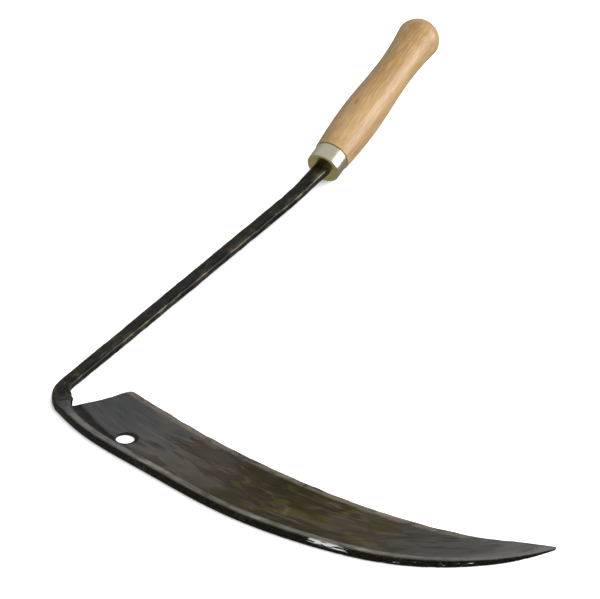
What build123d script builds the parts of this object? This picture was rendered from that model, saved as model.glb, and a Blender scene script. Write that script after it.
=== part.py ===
from build123d import *
import math
import os

# Hand sickle: a dished, ribbed blade on a cranked bar shank, with a ferrule and a turned handle.
# Lengths are in millimetres. +Z is up, +Y runs along the shank from the blade to the handle, and
# +X runs along the blade from the heel to the tip. The finished tool is moved so that the origin
# is the middle of the bottom of its bounding box, as it lies on its back and on the ferrule's rim.

# ---- blade: outline in plan, from the outer heel point ----
# The first number of a point is a share of the blade's length, the second is in millimetres.
BLADE_LENGTH = 384.8
BACK_POINTS = [
    (0.000, 0.0), (0.075, -16.4), (0.229, -35.9), (0.433, -56.3), (0.640, -61.1),
    (0.776, -53.1), (0.890, -30.9), (0.968, -1.0), (1.000, 20.8),
]
EDGE_POINTS = [
    (0.094, 42.8), (0.264, 21.4), (0.492, 2.2), (0.725, -4.4),
    (0.858, 2.6), (0.941, 15.0), (0.996, 23.8),
]
BLADE_STATIONS = 21          # cross-sections that the blade is drawn through

# ---- blade: cross-section ----
PLATE_THICKNESS = 1.5        # at the foot of the rib
PLATE_TIP_SHARE = 0.4        # what is left of it at the tip
EDGE_THICKNESS = 0.4         # the worn, blunt edge
BEVEL_WIDTH = 5.5            # hammered and ground band along the edge
BEVEL_THICKNESS = 1.1        # plate thickness where the bevel starts
BEVEL_SHARE = 0.3            # the most of the blade's width that the bevel takes
DISH_HEIGHT = 4.2            # how far the edge lies above the belly
DISH_WIDTH = 50.0            # width of blade from which the dish has its full height
BELLY_SHARE = 0.42           # flat share of the width, on which the blade rests
GRIND_DEPTH = 0.1            # taken off the underside, so that the back and the belly lie flat
RIB_HEIGHT = 6.3
RIB_WIDTH = 6.6
RIB_CHAMFER = 0.9
RIB_FOOT = 2.4               # concave foot between the rib and the plate
FOOT_HOLLOW = 0.25           # share of the foot at which its curve passes the corner
FOOT_ROOM = 1.3              # feet of flat plate that are kept beside the rib
RIB_TIP_SHARE = 0.14         # what is left of the rib's size at the tip
RIB_TAPER_POWER = 8          # keeps the rib full until shortly before the tip

# ---- hanging hole ----
HOLE_DIAMETER = 13.0
HOLE_ALONG = 61.7            # from the outer heel point, along +X
HOLE_ACROSS = -8.5           # from the outer heel point, along +Y

# ---- bar shank ----
BAR_WIDTH = 10.0
BAR_HEIGHT = 6.0
BAR_CORNER = 1.9
CORNER_SHARE = 0.4           # the most of the bar's height that its rounding takes
HEEL_WIDTH = 13.0            # the bar is spread where it joins the blade
NECK_WIDTH = 11.4            # and swells again at the ferrule
NECK_HEIGHT = 7.0
ELBOW_RADIUS = 37.0          # to the outer side of the bar
SHANK_REACH = 323.6          # from the end of the elbow to the ferrule's face
SHANK_DRIFT = 1.55           # degrees from +Y towards +X
CRANK_RADIUS = 210.0         # of the slight upward bend before the ferrule
CRANK_PITCH = 6.4            # degrees that the bar rises after that bend
NECK_LENGTH = 26.0           # straight and swelling, from the bend to the ferrule's face
BEND_STATIONS = 5            # cross-sections that each bend is drawn through

# ---- tang, driven into the handle ----
TANG_WIDTH = 8.4
TANG_HEIGHT = 5.2
TANG_END_WIDTH = 4.0
TANG_END_HEIGHT = 3.0
TANG_LENGTH = 96.0
TANG_CLEARANCE = 0.2         # round the tang in the ferrule's face

# ---- ferrule ----
FERRULE_DIAMETER = 24.6
FERRULE_LENGTH = 13.5
FERRULE_WALL = 1.0
FERRULE_FACE = 1.4
FERRULE_RIM = 1.6            # rounding of the front rim

# ---- handle ----
HANDLE_PITCH = 15.7          # degrees that the handle rises above the table
HANDLE_HEADING = -0.7        # degrees from +Y towards +X
HANDLE_LENGTH = 151.0        # from the ferrule's face to the butt
DOME_LENGTH = 13.3
SHOULDER_STEP = 0.65         # how far the wood stands proud of the ferrule
SWELL_DIAMETER = 29.3
SWELL_SHARE = 0.31           # place of the swelling, as a share of the wood before the dome
WAIST_DIAMETER = 25.5
WAIST_SHARE = 0.72
BUTT_DIAMETER = 30.4
ROUND = 0.5523               # control points of a curve that follows a quarter of an ellipse


def heading_vector(degrees, pitch=0.0):
    """Unit vector at an angle from +Y towards +X, raised by the pitch."""
    level = math.cos(math.radians(pitch))
    along_x = level * math.sin(math.radians(degrees))
    along_y = level * math.cos(math.radians(degrees))
    return Vector(along_x, along_y, math.sin(math.radians(pitch)))


def cross_plane(point, direction):
    """Plane across a bar: its x is level, its y points up, and its normal is the direction."""
    level = Vector(direction.Y, -direction.X, 0).normalized()
    return Plane(origin=point, x_dir=level, z_dir=direction)


# ---- blade ----
def rib_scale(share):
    """Size of the rib, against its full size, at a share of the blade's length."""
    return 1 - (1 - RIB_TIP_SHARE) * share ** RIB_TAPER_POWER


def plate_profile(width, scale):
    """Closed cross-section: x runs from the back to the edge, y is the height."""
    rib_width = RIB_WIDTH * scale
    rib_height = RIB_HEIGHT * scale
    chamfer = RIB_CHAMFER * scale
    foot = RIB_FOOT * scale
    thick = PLATE_THICKNESS * (PLATE_TIP_SHARE + (1 - PLATE_TIP_SHARE) * scale)
    shoulder = min(BEVEL_THICKNESS, thick)
    belly = max(BELLY_SHARE * width, rib_width + FOOT_ROOM * foot)
    bevel = min(BEVEL_WIDTH, BEVEL_SHARE * width)
    lift = DISH_HEIGHT * min(1, width / DISH_WIDTH)

    def rise(distance):
        return lift * ((distance - belly) / (width - belly)) ** 2

    middle = (belly + width - bevel) / 2
    return [
        (chamfer, -GRIND_DEPTH),
        (belly, -GRIND_DEPTH),
        (middle, rise(middle)),
        (width - bevel, rise(width - bevel)),
        (width, lift),
        (width, lift + EDGE_THICKNESS),
        (width - bevel, rise(width - bevel) + shoulder),
        (middle, rise(middle) + (thick + shoulder) / 2),
        (belly, thick),
        (rib_width + foot, thick),
        (rib_width + FOOT_HOLLOW * foot, thick + FOOT_HOLLOW * foot),
        (rib_width, thick + foot),
        (rib_width - chamfer, rib_height),
        (chamfer, rib_height),
        (0, rib_height - chamfer),
        (0, chamfer),
    ]


def outline_curve(points):
    return Spline(*[(share * BLADE_LENGTH, across) for share, across in points])


def make_blade():
    back = outline_curve(BACK_POINTS)
    edge = outline_curve(EDGE_POINTS)
    sections = []
    for station in range(BLADE_STATIONS):
        share = station / (BLADE_STATIONS - 1)
        start = back @ share
        across = (edge @ share) - start
        plane = Plane(origin=start, x_dir=across, z_dir=Vector(across.Y, -across.X, 0))
        outline = Polyline(*plate_profile(across.length, rib_scale(share)), close=True)
        sections.append(plane * make_face(outline))
    plate = loft(sections)
    hole = Pos(HOLE_ALONG, HOLE_ACROSS, 0) * Cylinder(HOLE_DIAMETER / 2, 2 * RIB_HEIGHT)
    grind = Box(3 * BLADE_LENGTH, 3 * BLADE_LENGTH, RIB_HEIGHT, align=(Align.CENTER, Align.CENTER, Align.MAX))
    return plate - hole - grind


# ---- bar shank ----
def across_vector(degrees):
    """Level unit vector to the right of a heading."""
    return heading_vector(degrees + 90)


def bar_section(point, direction, width, height):
    """Cross-section of the bar: a rectangle with rounded corners."""
    corner = min(BAR_CORNER, CORNER_SHARE * height)
    return cross_plane(point, direction) * RectangleRounded(width, height, corner)


def between(first, last, share):
    return first + (last - first) * share


heel_line = (outline_curve(EDGE_POINTS) @ 0).normalized()
JOINT_HEADING = -math.degrees(math.atan2(heel_line.Y, heel_line.X))
elbow_centre = across_vector(JOINT_HEADING) * ELBOW_RADIUS
bar_middle = Vector(0, 0, BAR_HEIGHT / 2)
elbow_end = elbow_centre - across_vector(SHANK_DRIFT) * (ELBOW_RADIUS - BAR_WIDTH / 2) + bar_middle

# The ferrule's rim rests on the table, which sets the height of its face.
rim_radius = FERRULE_DIAMETER / 2 - FERRULE_RIM
pitch_sine = math.sin(math.radians(HANDLE_PITCH))
pitch_cosine = math.cos(math.radians(HANDLE_PITCH))
face_height = rim_radius * pitch_cosine + FERRULE_RIM * (1 - pitch_sine)
shank_along = heading_vector(SHANK_DRIFT)
face_centre = Vector(elbow_end.X, elbow_end.Y, face_height) + shank_along * SHANK_REACH
handle_axis = heading_vector(HANDLE_HEADING, HANDLE_PITCH)
handle_plane = Plane(origin=face_centre, x_dir=across_vector(HANDLE_HEADING), z_dir=handle_axis)

# The straight shank is the tangent from the elbow to the circle that the crank follows.
neck_sine = math.sin(math.radians(CRANK_PITCH))
neck_cosine = math.cos(math.radians(CRANK_PITCH))
crank_along = SHANK_REACH - NECK_LENGTH * neck_cosine - CRANK_RADIUS * neck_sine
crank_up = face_height - NECK_LENGTH * neck_sine + CRANK_RADIUS * neck_cosine
centre_rise = math.atan2(crank_up - BAR_HEIGHT / 2, crank_along)
centre_distance = math.hypot(crank_up - BAR_HEIGHT / 2, crank_along)
SHANK_PITCH = math.degrees(centre_rise - math.asin(CRANK_RADIUS / centre_distance))


def elbow_section(share):
    """Section of the elbow, which spreads on its inner side towards the blade."""
    heading = between(JOINT_HEADING, SHANK_DRIFT, share)
    width = between(HEEL_WIDTH, BAR_WIDTH, share)
    point = elbow_centre - across_vector(heading) * (ELBOW_RADIUS - width / 2) + bar_middle
    return bar_section(point, heading_vector(heading), width, BAR_HEIGHT)


def crank_section(share):
    """Section of the slight upward bend."""
    pitch = between(SHANK_PITCH, CRANK_PITCH, share)
    reach = crank_along + CRANK_RADIUS * math.sin(math.radians(pitch))
    height = crank_up - CRANK_RADIUS * math.cos(math.radians(pitch))
    point = Vector(elbow_end.X, elbow_end.Y, height) + shank_along * reach
    return bar_section(point, heading_vector(SHANK_DRIFT, pitch), BAR_WIDTH, BAR_HEIGHT)


def make_tang():
    root = bar_section(face_centre, handle_axis, TANG_WIDTH, TANG_HEIGHT)
    end = bar_section(face_centre + handle_axis * TANG_LENGTH, handle_axis, TANG_END_WIDTH, TANG_END_HEIGHT)
    return loft([root, end], ruled=True)


def make_shank_bar(tang):
    shares = [station / (BEND_STATIONS - 1) for station in range(BEND_STATIONS)]
    elbow = loft([elbow_section(share) for share in shares])
    straight = loft([elbow_section(1), crank_section(0)], ruled=True)
    crank = loft([crank_section(share) for share in shares])
    shoulder = bar_section(face_centre, handle_axis, NECK_WIDTH, NECK_HEIGHT)
    neck = loft([crank_section(1), shoulder], ruled=True)
    return elbow + straight + crank + neck + tang


# ---- ferrule and handle, made along +Z from the ferrule's face and then laid on the handle's axis ----
def make_ferrule():
    radius = FERRULE_DIAMETER / 2
    from_bottom = (Align.CENTER, Align.CENTER, Align.MIN)
    tube = Cylinder(radius, FERRULE_LENGTH, align=from_bottom)
    tube = fillet(tube.edges().sort_by(Axis.Z)[0], FERRULE_RIM)
    inside = Cylinder(radius - FERRULE_WALL, FERRULE_LENGTH, align=from_bottom)
    cup = tube - Pos(0, 0, FERRULE_FACE) * inside
    slot_width = TANG_WIDTH + 2 * TANG_CLEARANCE
    slot_height = TANG_HEIGHT + 2 * TANG_CLEARANCE
    cup -= Box(slot_width, slot_height, FERRULE_LENGTH)
    return handle_plane * cup


def make_handle(tang):
    dome_start = HANDLE_LENGTH - DOME_LENGTH
    wood_length = dome_start - FERRULE_LENGTH
    spigot = FERRULE_DIAMETER / 2 - FERRULE_WALL
    shoulder = (FERRULE_DIAMETER / 2 + SHOULDER_STEP, FERRULE_LENGTH)
    swell = (SWELL_DIAMETER / 2, FERRULE_LENGTH + SWELL_SHARE * wood_length)
    waist = (WAIST_DIAMETER / 2, FERRULE_LENGTH + WAIST_SHARE * wood_length)
    butt = (BUTT_DIAMETER / 2, dome_start)
    pole = (0, HANDLE_LENGTH)
    rise = (2 * (swell[0] - shoulder[0]), swell[1] - shoulder[1])
    outline = [
        Spline(shoulder, swell, waist, butt, tangents=[rise, (0, 1)]),
        Bezier(butt, (butt[0], dome_start + ROUND * DOME_LENGTH), (ROUND * butt[0], HANDLE_LENGTH), pole),
        Polyline(pole, (0, FERRULE_FACE), (spigot, FERRULE_FACE), (spigot, FERRULE_LENGTH), shoulder),
    ]
    wood = revolve(Plane.XZ * make_face(outline), Axis.Z)
    return handle_plane * wood - tang


tang = make_tang()
pieces = {
    "blade": make_blade(),
    "shank_bar": make_shank_bar(tang),
    "ferrule": make_ferrule(),
    "handle": make_handle(tang),
}

box = Compound(children=[piece.solid() for piece in pieces.values()]).bounding_box()
to_origin = Pos(-(box.min.X + box.max.X) / 2, -(box.min.Y + box.max.Y) / 2, -box.min.Z)

os.makedirs("parts", exist_ok=True)
for name, piece in pieces.items():
    solid = to_origin * piece.solid()
    solid.label = name
    export_step(solid, f"parts/{name}.step")
    size = solid.bounding_box().size
    print(f"{name}: {size.X:.1f} x {size.Y:.1f} x {size.Z:.1f} mm, {solid.volume / 1000:.1f} cm3")
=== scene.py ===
# %% [markdown]
# # A hand sickle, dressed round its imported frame
# The tool is a dished and ribbed blade, a bent bar of black iron, a small plated ferrule and a
# turned handle. The frame gives the place and the size of these four parts. This script makes a
# finer surface for each of them and gives it its finish: forge scale, ground steel, plating, wood.
# Two kinds of modelling are used. The forged parts are swept in plain mesh code, because every
# hammer mark is a small rule about distance along the bar. The turned parts are made by a lathe
# in Geometry Nodes, because a lathe is exactly such a rule.

# %% Load the frame
import math

import bpy
import numpy as np
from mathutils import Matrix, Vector


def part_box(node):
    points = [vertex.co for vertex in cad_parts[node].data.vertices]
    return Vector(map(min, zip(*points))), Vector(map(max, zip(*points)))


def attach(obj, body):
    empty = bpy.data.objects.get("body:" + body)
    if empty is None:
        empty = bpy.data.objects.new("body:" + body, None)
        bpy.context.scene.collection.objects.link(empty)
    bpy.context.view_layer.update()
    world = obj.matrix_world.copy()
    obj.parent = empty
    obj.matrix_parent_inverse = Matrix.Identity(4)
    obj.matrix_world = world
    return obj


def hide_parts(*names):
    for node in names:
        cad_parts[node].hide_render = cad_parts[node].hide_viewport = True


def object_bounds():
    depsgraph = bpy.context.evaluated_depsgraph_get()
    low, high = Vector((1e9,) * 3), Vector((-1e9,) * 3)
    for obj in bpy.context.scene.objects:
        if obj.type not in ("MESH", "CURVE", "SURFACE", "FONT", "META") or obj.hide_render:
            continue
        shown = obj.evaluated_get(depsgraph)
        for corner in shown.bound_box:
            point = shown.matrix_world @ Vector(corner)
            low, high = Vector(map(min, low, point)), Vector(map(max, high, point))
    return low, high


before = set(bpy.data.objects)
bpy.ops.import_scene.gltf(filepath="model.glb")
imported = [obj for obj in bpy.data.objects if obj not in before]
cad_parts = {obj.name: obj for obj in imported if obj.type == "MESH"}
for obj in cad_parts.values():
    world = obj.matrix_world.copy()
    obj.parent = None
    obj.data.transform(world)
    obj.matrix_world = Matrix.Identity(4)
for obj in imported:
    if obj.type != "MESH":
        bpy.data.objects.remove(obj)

cad_low, cad_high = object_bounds()
print("frame box in metres:", [round(v, 4) for v in (*cad_low, *cad_high)])

# %% [markdown]
# The smith's own zero is the outer heel point, where the back of the blade leaves the bend of the
# bar. Shapes below are written in millimetres from that point, along the blade, towards the handle
# and up, as they would be in a workshop drawing. One small function turns them into metres in the
# frame.

# %% Anchors
MM = 0.001
HEEL_RISE = 42.8  # the heel corner's height above the outer heel point, in plan
blade_low, blade_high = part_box("blade")
ferrule_low, ferrule_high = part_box("ferrule")
heel_zero = np.array([blade_low.x / MM, blade_high.y / MM - HEEL_RISE, cad_low.z / MM])


def placed(points):
    """Workshop millimetres to metres in the frame."""
    return (np.asarray(points, float) + heel_zero) * MM


print("outer heel point, mm:", heel_zero.round(2))

# %% [markdown]
# ## The camera
# A product picture of a long tool is taken from far away with a long lens, so that the handle at
# the back isn't smaller than the blade at the front. The camera therefore stands sixteen metres off.
# It aims at a point on the table and its lens is worked out from the width of table it has to show.

# %% Camera
def new_object(name, data):
    """An object with this data, linked to the scene."""
    made = bpy.data.objects.new(name, data)
    bpy.context.scene.collection.objects.link(made)
    return made


def looking(name, data, place, direction):
    """A camera or a lamp that stands at a place and looks in a direction."""
    made = new_object(name, data)
    made.location = place
    made.rotation_mode = "QUATERNION"
    made.rotation_quaternion = direction.to_track_quat("-Z", "Y")
    return made


VIEW_AZIMUTH = 31.10
VIEW_ELEVATION = 31.16
VIEW_DISTANCE = 16.0
VIEW_WIDTH = 0.41198
SENSOR = 36.0
aim = Vector((-0.11639, -0.00737, 0.0))

turn = math.radians(VIEW_AZIMUTH)
tilt = math.radians(VIEW_ELEVATION)
level = math.cos(tilt)
towards_camera = Vector((math.sin(turn) * level, -math.cos(turn) * level, math.sin(tilt)))
camera_data = bpy.data.cameras.new("camera")
camera_data.sensor_width = SENSOR
camera_data.lens = SENSOR * VIEW_DISTANCE / VIEW_WIDTH
camera = looking("camera", camera_data, aim + towards_camera * VIEW_DISTANCE, -towards_camera)
bpy.context.scene.camera = camera
print("lens, mm:", round(camera_data.lens, 1))

# %% [markdown]
# ## Shader maths in plain Python
# A material is a tree of nodes, and arithmetic on masks takes dozens of them. The class below wraps
# one socket and gives it the usual operators, so that `1 - mask * 0.5` adds the Math nodes by
# itself. The bench holds one tree and has one method that makes any other node.

# %% A socket that does arithmetic
def forward(operation):
    """An operator for a wire on its left, as in mask * 0.5."""
    return lambda wire, other: wire.maths(operation, wire, other)


def reflected(operation):
    """The same operator for a wire on its right, as in 1 - mask."""
    return lambda wire, other: wire.maths(operation, other, wire)


class Wire:
    """One output socket of a tree, used as a number."""

    def __init__(self, bench, socket):
        self.bench, self.socket = bench, socket

    def maths(self, operation, first, second):
        return self.bench.node("ShaderNodeMath", {"operation": operation}, {0: first, 1: second})

    __add__, __radd__ = forward("ADD"), reflected("ADD")
    __sub__, __rsub__ = forward("SUBTRACT"), reflected("SUBTRACT")
    __mul__, __rmul__ = forward("MULTIPLY"), reflected("MULTIPLY")
    __truediv__, __rtruediv__ = forward("DIVIDE"), reflected("DIVIDE")


# %% The bench that a tree is made on
class Bench:
    """The nodes of a material or of the world, or of a tree that stands alone."""

    def __init__(self, owner):
        self.owner = owner
        if isinstance(owner, bpy.types.NodeTree):
            self.tree = owner
        else:
            owner.use_nodes = True
            self.tree = owner.node_tree
        self.tree.nodes.clear()

    def node(self, kind, settings=None, sockets=None, output=0):
        """Makes a node: first its settings, then the values or links of its inputs."""
        made = self.tree.nodes.new(kind)
        for name, value in (settings or {}).items():
            if name == "stops":
                self.set_stops(made.color_ramp, value)
            else:
                setattr(made, name, value)
        for name, value in (sockets or {}).items():
            if isinstance(value, Wire):
                self.tree.links.new(value.socket, made.inputs[name])
            else:
                made.inputs[name].default_value = value
        return Wire(self, made.outputs[output])

    def set_stops(self, ramp, stops):
        while len(ramp.elements) < len(stops):
            ramp.elements.new(1.0)
        for element, (place, colour) in zip(ramp.elements, stops):
            element.position = place
            element.color = colour

    def end(self, kind, last):
        """Links the last node to the tree's output, and says how large the tree has become."""
        made = self.tree.nodes.new(kind)
        self.tree.links.new(last.socket, made.inputs[0])
        print(self.owner.name, "has", len(self.tree.nodes), "nodes")

    def scaled(self, vector, scales):
        """A place with each of its directions stretched by its own factor."""
        return self.node("ShaderNodeVectorMath", {"operation": "MULTIPLY"}, {0: vector, 1: scales})

    def noise(self, vector, scales, detail=4.0, roughness=0.55, distortion=0.0):
        """Cloudy noise from 0 to 1, finer or coarser in each direction."""
        return self.node(
            "ShaderNodeTexNoise",
            sockets={
                "Vector": self.scaled(vector, scales), "Scale": 1.0, "Detail": detail,
                "Roughness": roughness, "Distortion": distortion,
            },
        )

    def step(self, value, low, high):
        """A soft step: 0 below low, 1 above high, or the other way round if low is the larger."""
        return self.node(
            "ShaderNodeMapRange", {"interpolation_type": "SMOOTHSTEP"},
            {"Value": value, "From Min": low, "From Max": high},
        )

    def mix(self, share, under, over):
        """One colour over another."""
        settings = {"data_type": "RGBA", "blend_type": "MIX"}
        under = under if isinstance(under, Wire) else (*under, 1.0)
        over = over if isinstance(over, Wire) else (*over, 1.0)
        return self.node("ShaderNodeMix", settings, {0: share, 6: under, 7: over}, output=2)

    def layered(self, colour, layers):
        """More colours over the first one, each with its own share, in the order given."""
        for share, over in layers:
            colour = self.mix(share, colour, over)
        return colour

    def part(self, vector, index):
        """One of the three numbers of a place."""
        return self.node("ShaderNodeSeparateXYZ", sockets={0: vector}, output=index)

    def bump(self, height, strength, distance):
        """Relief that only changes how the light falls. The distance is in metres."""
        sockets = {"Strength": strength, "Distance": distance, "Height": height}
        return self.node("ShaderNodeBump", sockets=sockets)

    def attribute(self, name, output="Fac"):
        """A value or a vector that the mesh carries on its points."""
        return self.node("ShaderNodeAttribute", {"attribute_name": name}, output=output)

    def finish(self, varying, constant):
        """Ends a material in a Principled shader."""
        self.end(
            "ShaderNodeOutputMaterial",
            self.node("ShaderNodeBsdfPrincipled", sockets={**constant, **varying}),
        )
        return self.owner


# %% [markdown]
# ## Floor and light
# The table is a plain pale sheet, large enough that no edge shows. It glows a little of its own, so
# that it comes out nearly white and the shadows on it stay faint. The light of a studio sweep comes
# from everywhere at once, so most of it is the world itself: pale overhead, darker near the
# horizon, with one bright round window low on the right and a little behind, which draws the long
# highlights on the plating and on the varnish. One wide softbox, high on the right, gives the wood
# a lighter and a darker side.

# %% Floor
WHITE = (1.0, 1.0, 1.0, 1.0)
FLOOR_HALF = 12.0
FLOOR_DROP = 0.0002  # the sheet lies just below the tool, so that the two never touch
FIBRE_SCALE = (90.0, 90.0, 90.0)
floor_mesh = bpy.data.meshes.new("floor")
floor_corners = [
    (x * FLOOR_HALF, y * FLOOR_HALF, cad_low.z - FLOOR_DROP)
    for x, y in ((-1, -1), (1, -1), (1, 1), (-1, 1))
]
floor_mesh.from_pydata(floor_corners, [], [(0, 1, 2, 3)])
floor = new_object("floor", floor_mesh)
paper = Bench(bpy.data.materials.new("pale_paper"))
paper_fibre = paper.noise(paper.node("ShaderNodeTexCoord", output="Object"), FIBRE_SCALE, detail=3.0)
floor_mesh.materials.append(paper.finish(
    {"Base Color": paper.mix(paper_fibre, (0.90, 0.90, 0.90), (0.92, 0.92, 0.92))},
    {
        "Roughness": 0.9, "Specular IOR Level": 0.1,
        "Emission Color": WHITE, "Emission Strength": 0.30,
    },
))
floor.visible_glossy = False

# %% World
SKY_LEVEL = 0.55
SIDE_LEVEL = 0.26
WINDOW_LEVEL = 4.5
world = bpy.data.worlds.new("studio")
bpy.context.scene.world = world
studio = Bench(world)
direction = studio.node("ShaderNodeTexCoord", output="Generated")


def glow(centre, inner, outer):
    """1 in a round patch of sky about a direction, and 0 beyond it. The sizes are angles in degrees."""
    nearness = studio.node(
        "ShaderNodeVectorMath", {"operation": "DOT_PRODUCT"},
        {0: direction, 1: Vector(centre).normalized()}, output=1,
    )
    return studio.step(nearness, math.cos(math.radians(outer)), math.cos(math.radians(inner)))


overhead = glow((0.0, 0.35, 1.0), 30, 100)
window = glow((0.80, 0.53, 0.27), 17, 23)
brightness = SIDE_LEVEL + overhead * (SKY_LEVEL - SIDE_LEVEL) + window * WINDOW_LEVEL
studio.end(
    "ShaderNodeOutputWorld",
    studio.node("ShaderNodeBackground", sockets={"Strength": brightness, "Color": WHITE}),
)
bpy.context.scene.view_settings.view_transform = "Standard"

# %% Lamp
LAMP_PLACE = Vector((1.9, 1.1, 3.2))
LAMP_SIZE = 6.0
LAMP_WATTS = 345.0
lamp_data = bpy.data.lights.new("overhead_softbox", "AREA")
lamp_data.shape = "SQUARE"
lamp_data.size = LAMP_SIZE
lamp_data.energy = LAMP_WATTS
lamp = looking("overhead_softbox", lamp_data, LAMP_PLACE, -LAMP_PLACE)
lamp.visible_camera = False
lamp.visible_glossy = False
print("lamp:", lamp.name, LAMP_SIZE, "m wide")

# %% [markdown]
# ## Curves and meshes
# An outline drawn with a bent lath passes smoothly through a few pegs. The natural cubic curve is
# that lath: between two pegs it is a cubic, and at each peg the direction and the bend agree. The
# second helper turns lists of points and faces into a piece, and puts on its points the values
# that the finish will read, such as how far along the blade a point is.

# %% Helpers for shapes
LINE_SAMPLES = 4000  # places at which the length of a curve is measured
CREASE = math.radians(40.0)  # edges that bend more than this are drawn sharp


def lengths_along(places):
    """Distance from the first place to each of the others, along the line through them all."""
    return np.concatenate([[0.0], np.cumsum(np.linalg.norm(np.diff(places, axis=0), axis=1))])


def smooth_line(pegs, shares):
    """Points at shares of the length of a natural cubic curve through the pegs."""
    pegs = np.array(pegs, float)
    knots = lengths_along(pegs)
    steps = np.diff(knots)
    system = np.eye(len(pegs))
    pull = np.zeros_like(pegs)
    for i in range(1, len(pegs) - 1):
        system[i, i - 1:i + 2] = steps[i - 1], 2 * (steps[i - 1] + steps[i]), steps[i]
        pull[i] = 6 * ((pegs[i + 1] - pegs[i]) / steps[i] - (pegs[i] - pegs[i - 1]) / steps[i - 1])
    bends = np.linalg.solve(system, pull)

    def at(distance):
        cell = np.clip(np.searchsorted(knots, distance, side="right") - 1, 0, len(steps) - 1)
        step = steps[cell][:, None]
        left = (knots[cell + 1] - distance)[:, None]
        right = (distance - knots[cell])[:, None]
        curved = (bends[cell] * left ** 3 + bends[cell + 1] * right ** 3) / (6 * step)
        level = (pegs[cell] / step - bends[cell] * step / 6) * left
        return curved + level + (pegs[cell + 1] / step - bends[cell + 1] * step / 6) * right

    fine = np.linspace(0, knots[-1], LINE_SAMPLES)
    length = lengths_along(at(fine))
    return at(np.interp(np.asarray(shares) * length[-1], length, fine))


def ripples(places, wavelengths, count, seed):
    """Smooth unevenness, mostly between -1 and 1: a few sine waves with random directions."""
    draw = np.random.default_rng(seed)
    total = 0.0
    for _ in range(count):
        turns = draw.normal(size=len(wavelengths)) / np.array(wavelengths)
        total = total + np.sin(2 * math.pi * (places @ turns) + draw.uniform(0, 2 * math.pi))
    return total / math.sqrt(count)


def soft_step(value, low, high):
    """0 at low and 1 at high, with a soft start and end. Low may be the larger of the two."""
    share = np.clip((value - low) / (high - low), 0, 1)
    return share * share * (3 - 2 * share)


def carry(mesh, label, values):
    """Puts a number, or a vector if the rows hold three numbers, on each point of a mesh."""
    kind, key = ("FLOAT_VECTOR", "vector") if values.shape[-1] == 3 else ("FLOAT", "value")
    layer = mesh.attributes.new(label, kind, "POINT")
    layer.data.foreach_set(key, values.astype(np.float32).ravel())


def make_piece(name, points, faces, carried):
    """A mesh piece from workshop millimetres. Carried values go on its points for the finish."""
    mesh = bpy.data.meshes.new(name)
    mesh.from_pydata(placed(points).tolist(), [], faces)
    for label, values in carried.items():
        carry(mesh, label, values)
    mesh.polygons.foreach_set("use_smooth", [True] * len(mesh.polygons))
    mesh.set_sharp_from_angle(angle=CREASE)
    mesh.validate()
    return new_object(name, mesh)


def enclosed(mesh):
    """Volume inside a closed mesh in cubic centimetres. It is positive if its faces point out."""
    mesh.calc_loop_triangles()
    corners = np.array([v.co for v in mesh.vertices])
    tris = np.array([t.vertices for t in mesh.loop_triangles])
    a, b, c = corners[tris[:, 0]], corners[tris[:, 1]], corners[tris[:, 2]]
    return float(np.einsum("ij,ij->i", a, np.cross(b, c)).sum() / 6 * 1e6)


def point_number(row, column, ring_size):
    """Number of a point in a stack of closed rings. After a ring's last point comes its first."""
    return row * ring_size + column % ring_size


def tube_faces(row_count, ring_size, left_out=None):
    """Quads over a stack of closed rings and a cap at each end. Some quads can be left out."""
    faces = []
    for row in range(row_count - 1):
        for column in range(ring_size):
            if left_out is None or not left_out(row, column):
                corners = (row, column), (row + 1, column), (row + 1, column + 1), (row, column + 1)
                faces.append([point_number(r, c, ring_size) for r, c in corners])
    first_cap = [point_number(0, column, ring_size) for column in range(ring_size)]
    last_cap = [point_number(row_count - 1, column, ring_size) for column in reversed(range(ring_size))]
    return faces + [first_cap, last_cap]


# %% [markdown]
# ## The blade
# A light trimming blade is one piece of steel, drawn out under the hammer. A thick rib is left
# along the back for stiffness, the plate in front of it is dished like a shallow spoon, and the
# cutting edge has a narrow band that was beaten thin and then ground. In section the blade is the
# same everywhere, only smaller towards the tip, so the mesh is one closed ring of points that
# travels along the back, and its sizes are written once.

# %% Blade outline
BLADE_LENGTH = 384.8
BACK_PEGS = [
    (0.000, 0.0), (0.075, -16.4), (0.229, -35.9), (0.433, -56.3), (0.640, -61.1),
    (0.776, -53.1), (0.890, -30.9), (0.968, -1.0), (1.000, 20.8),
]
EDGE_PEGS = [
    (0.094, 42.8), (0.264, 21.4), (0.492, 2.2), (0.725, -4.4),
    (0.858, 2.6), (0.941, 15.0), (0.996, 23.8),
]
BACK_RUN = 425.0  # length of the back, used to place things in millimetres
HEEL_ZONE = 4.0  # stretches at the heel and the tip with closer sections
TIP_ZONE = 9.0
HEEL_STATIONS = 12
BLADE_STATIONS = 410
TIP_STATIONS = 30
stations = np.concatenate([
    np.linspace(0, HEEL_ZONE, HEEL_STATIONS, endpoint=False),
    np.linspace(HEEL_ZONE, BACK_RUN - TIP_ZONE, BLADE_STATIONS, endpoint=False),
    np.linspace(BACK_RUN - TIP_ZONE, BACK_RUN, TIP_STATIONS),
])
station_share = stations / BACK_RUN
back_line = smooth_line([(share * BLADE_LENGTH, y) for share, y in BACK_PEGS], station_share)
edge_line = smooth_line([(share * BLADE_LENGTH, y) for share, y in EDGE_PEGS], station_share)
plate_width = np.linalg.norm(edge_line - back_line, axis=1)
outward = (edge_line - back_line) / plate_width[:, None]
widths = (plate_width[0], plate_width.max(), plate_width[-1])
print("plate width in mm, at the heel, widest and at the tip:", [float(w.round(1)) for w in widths])

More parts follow.
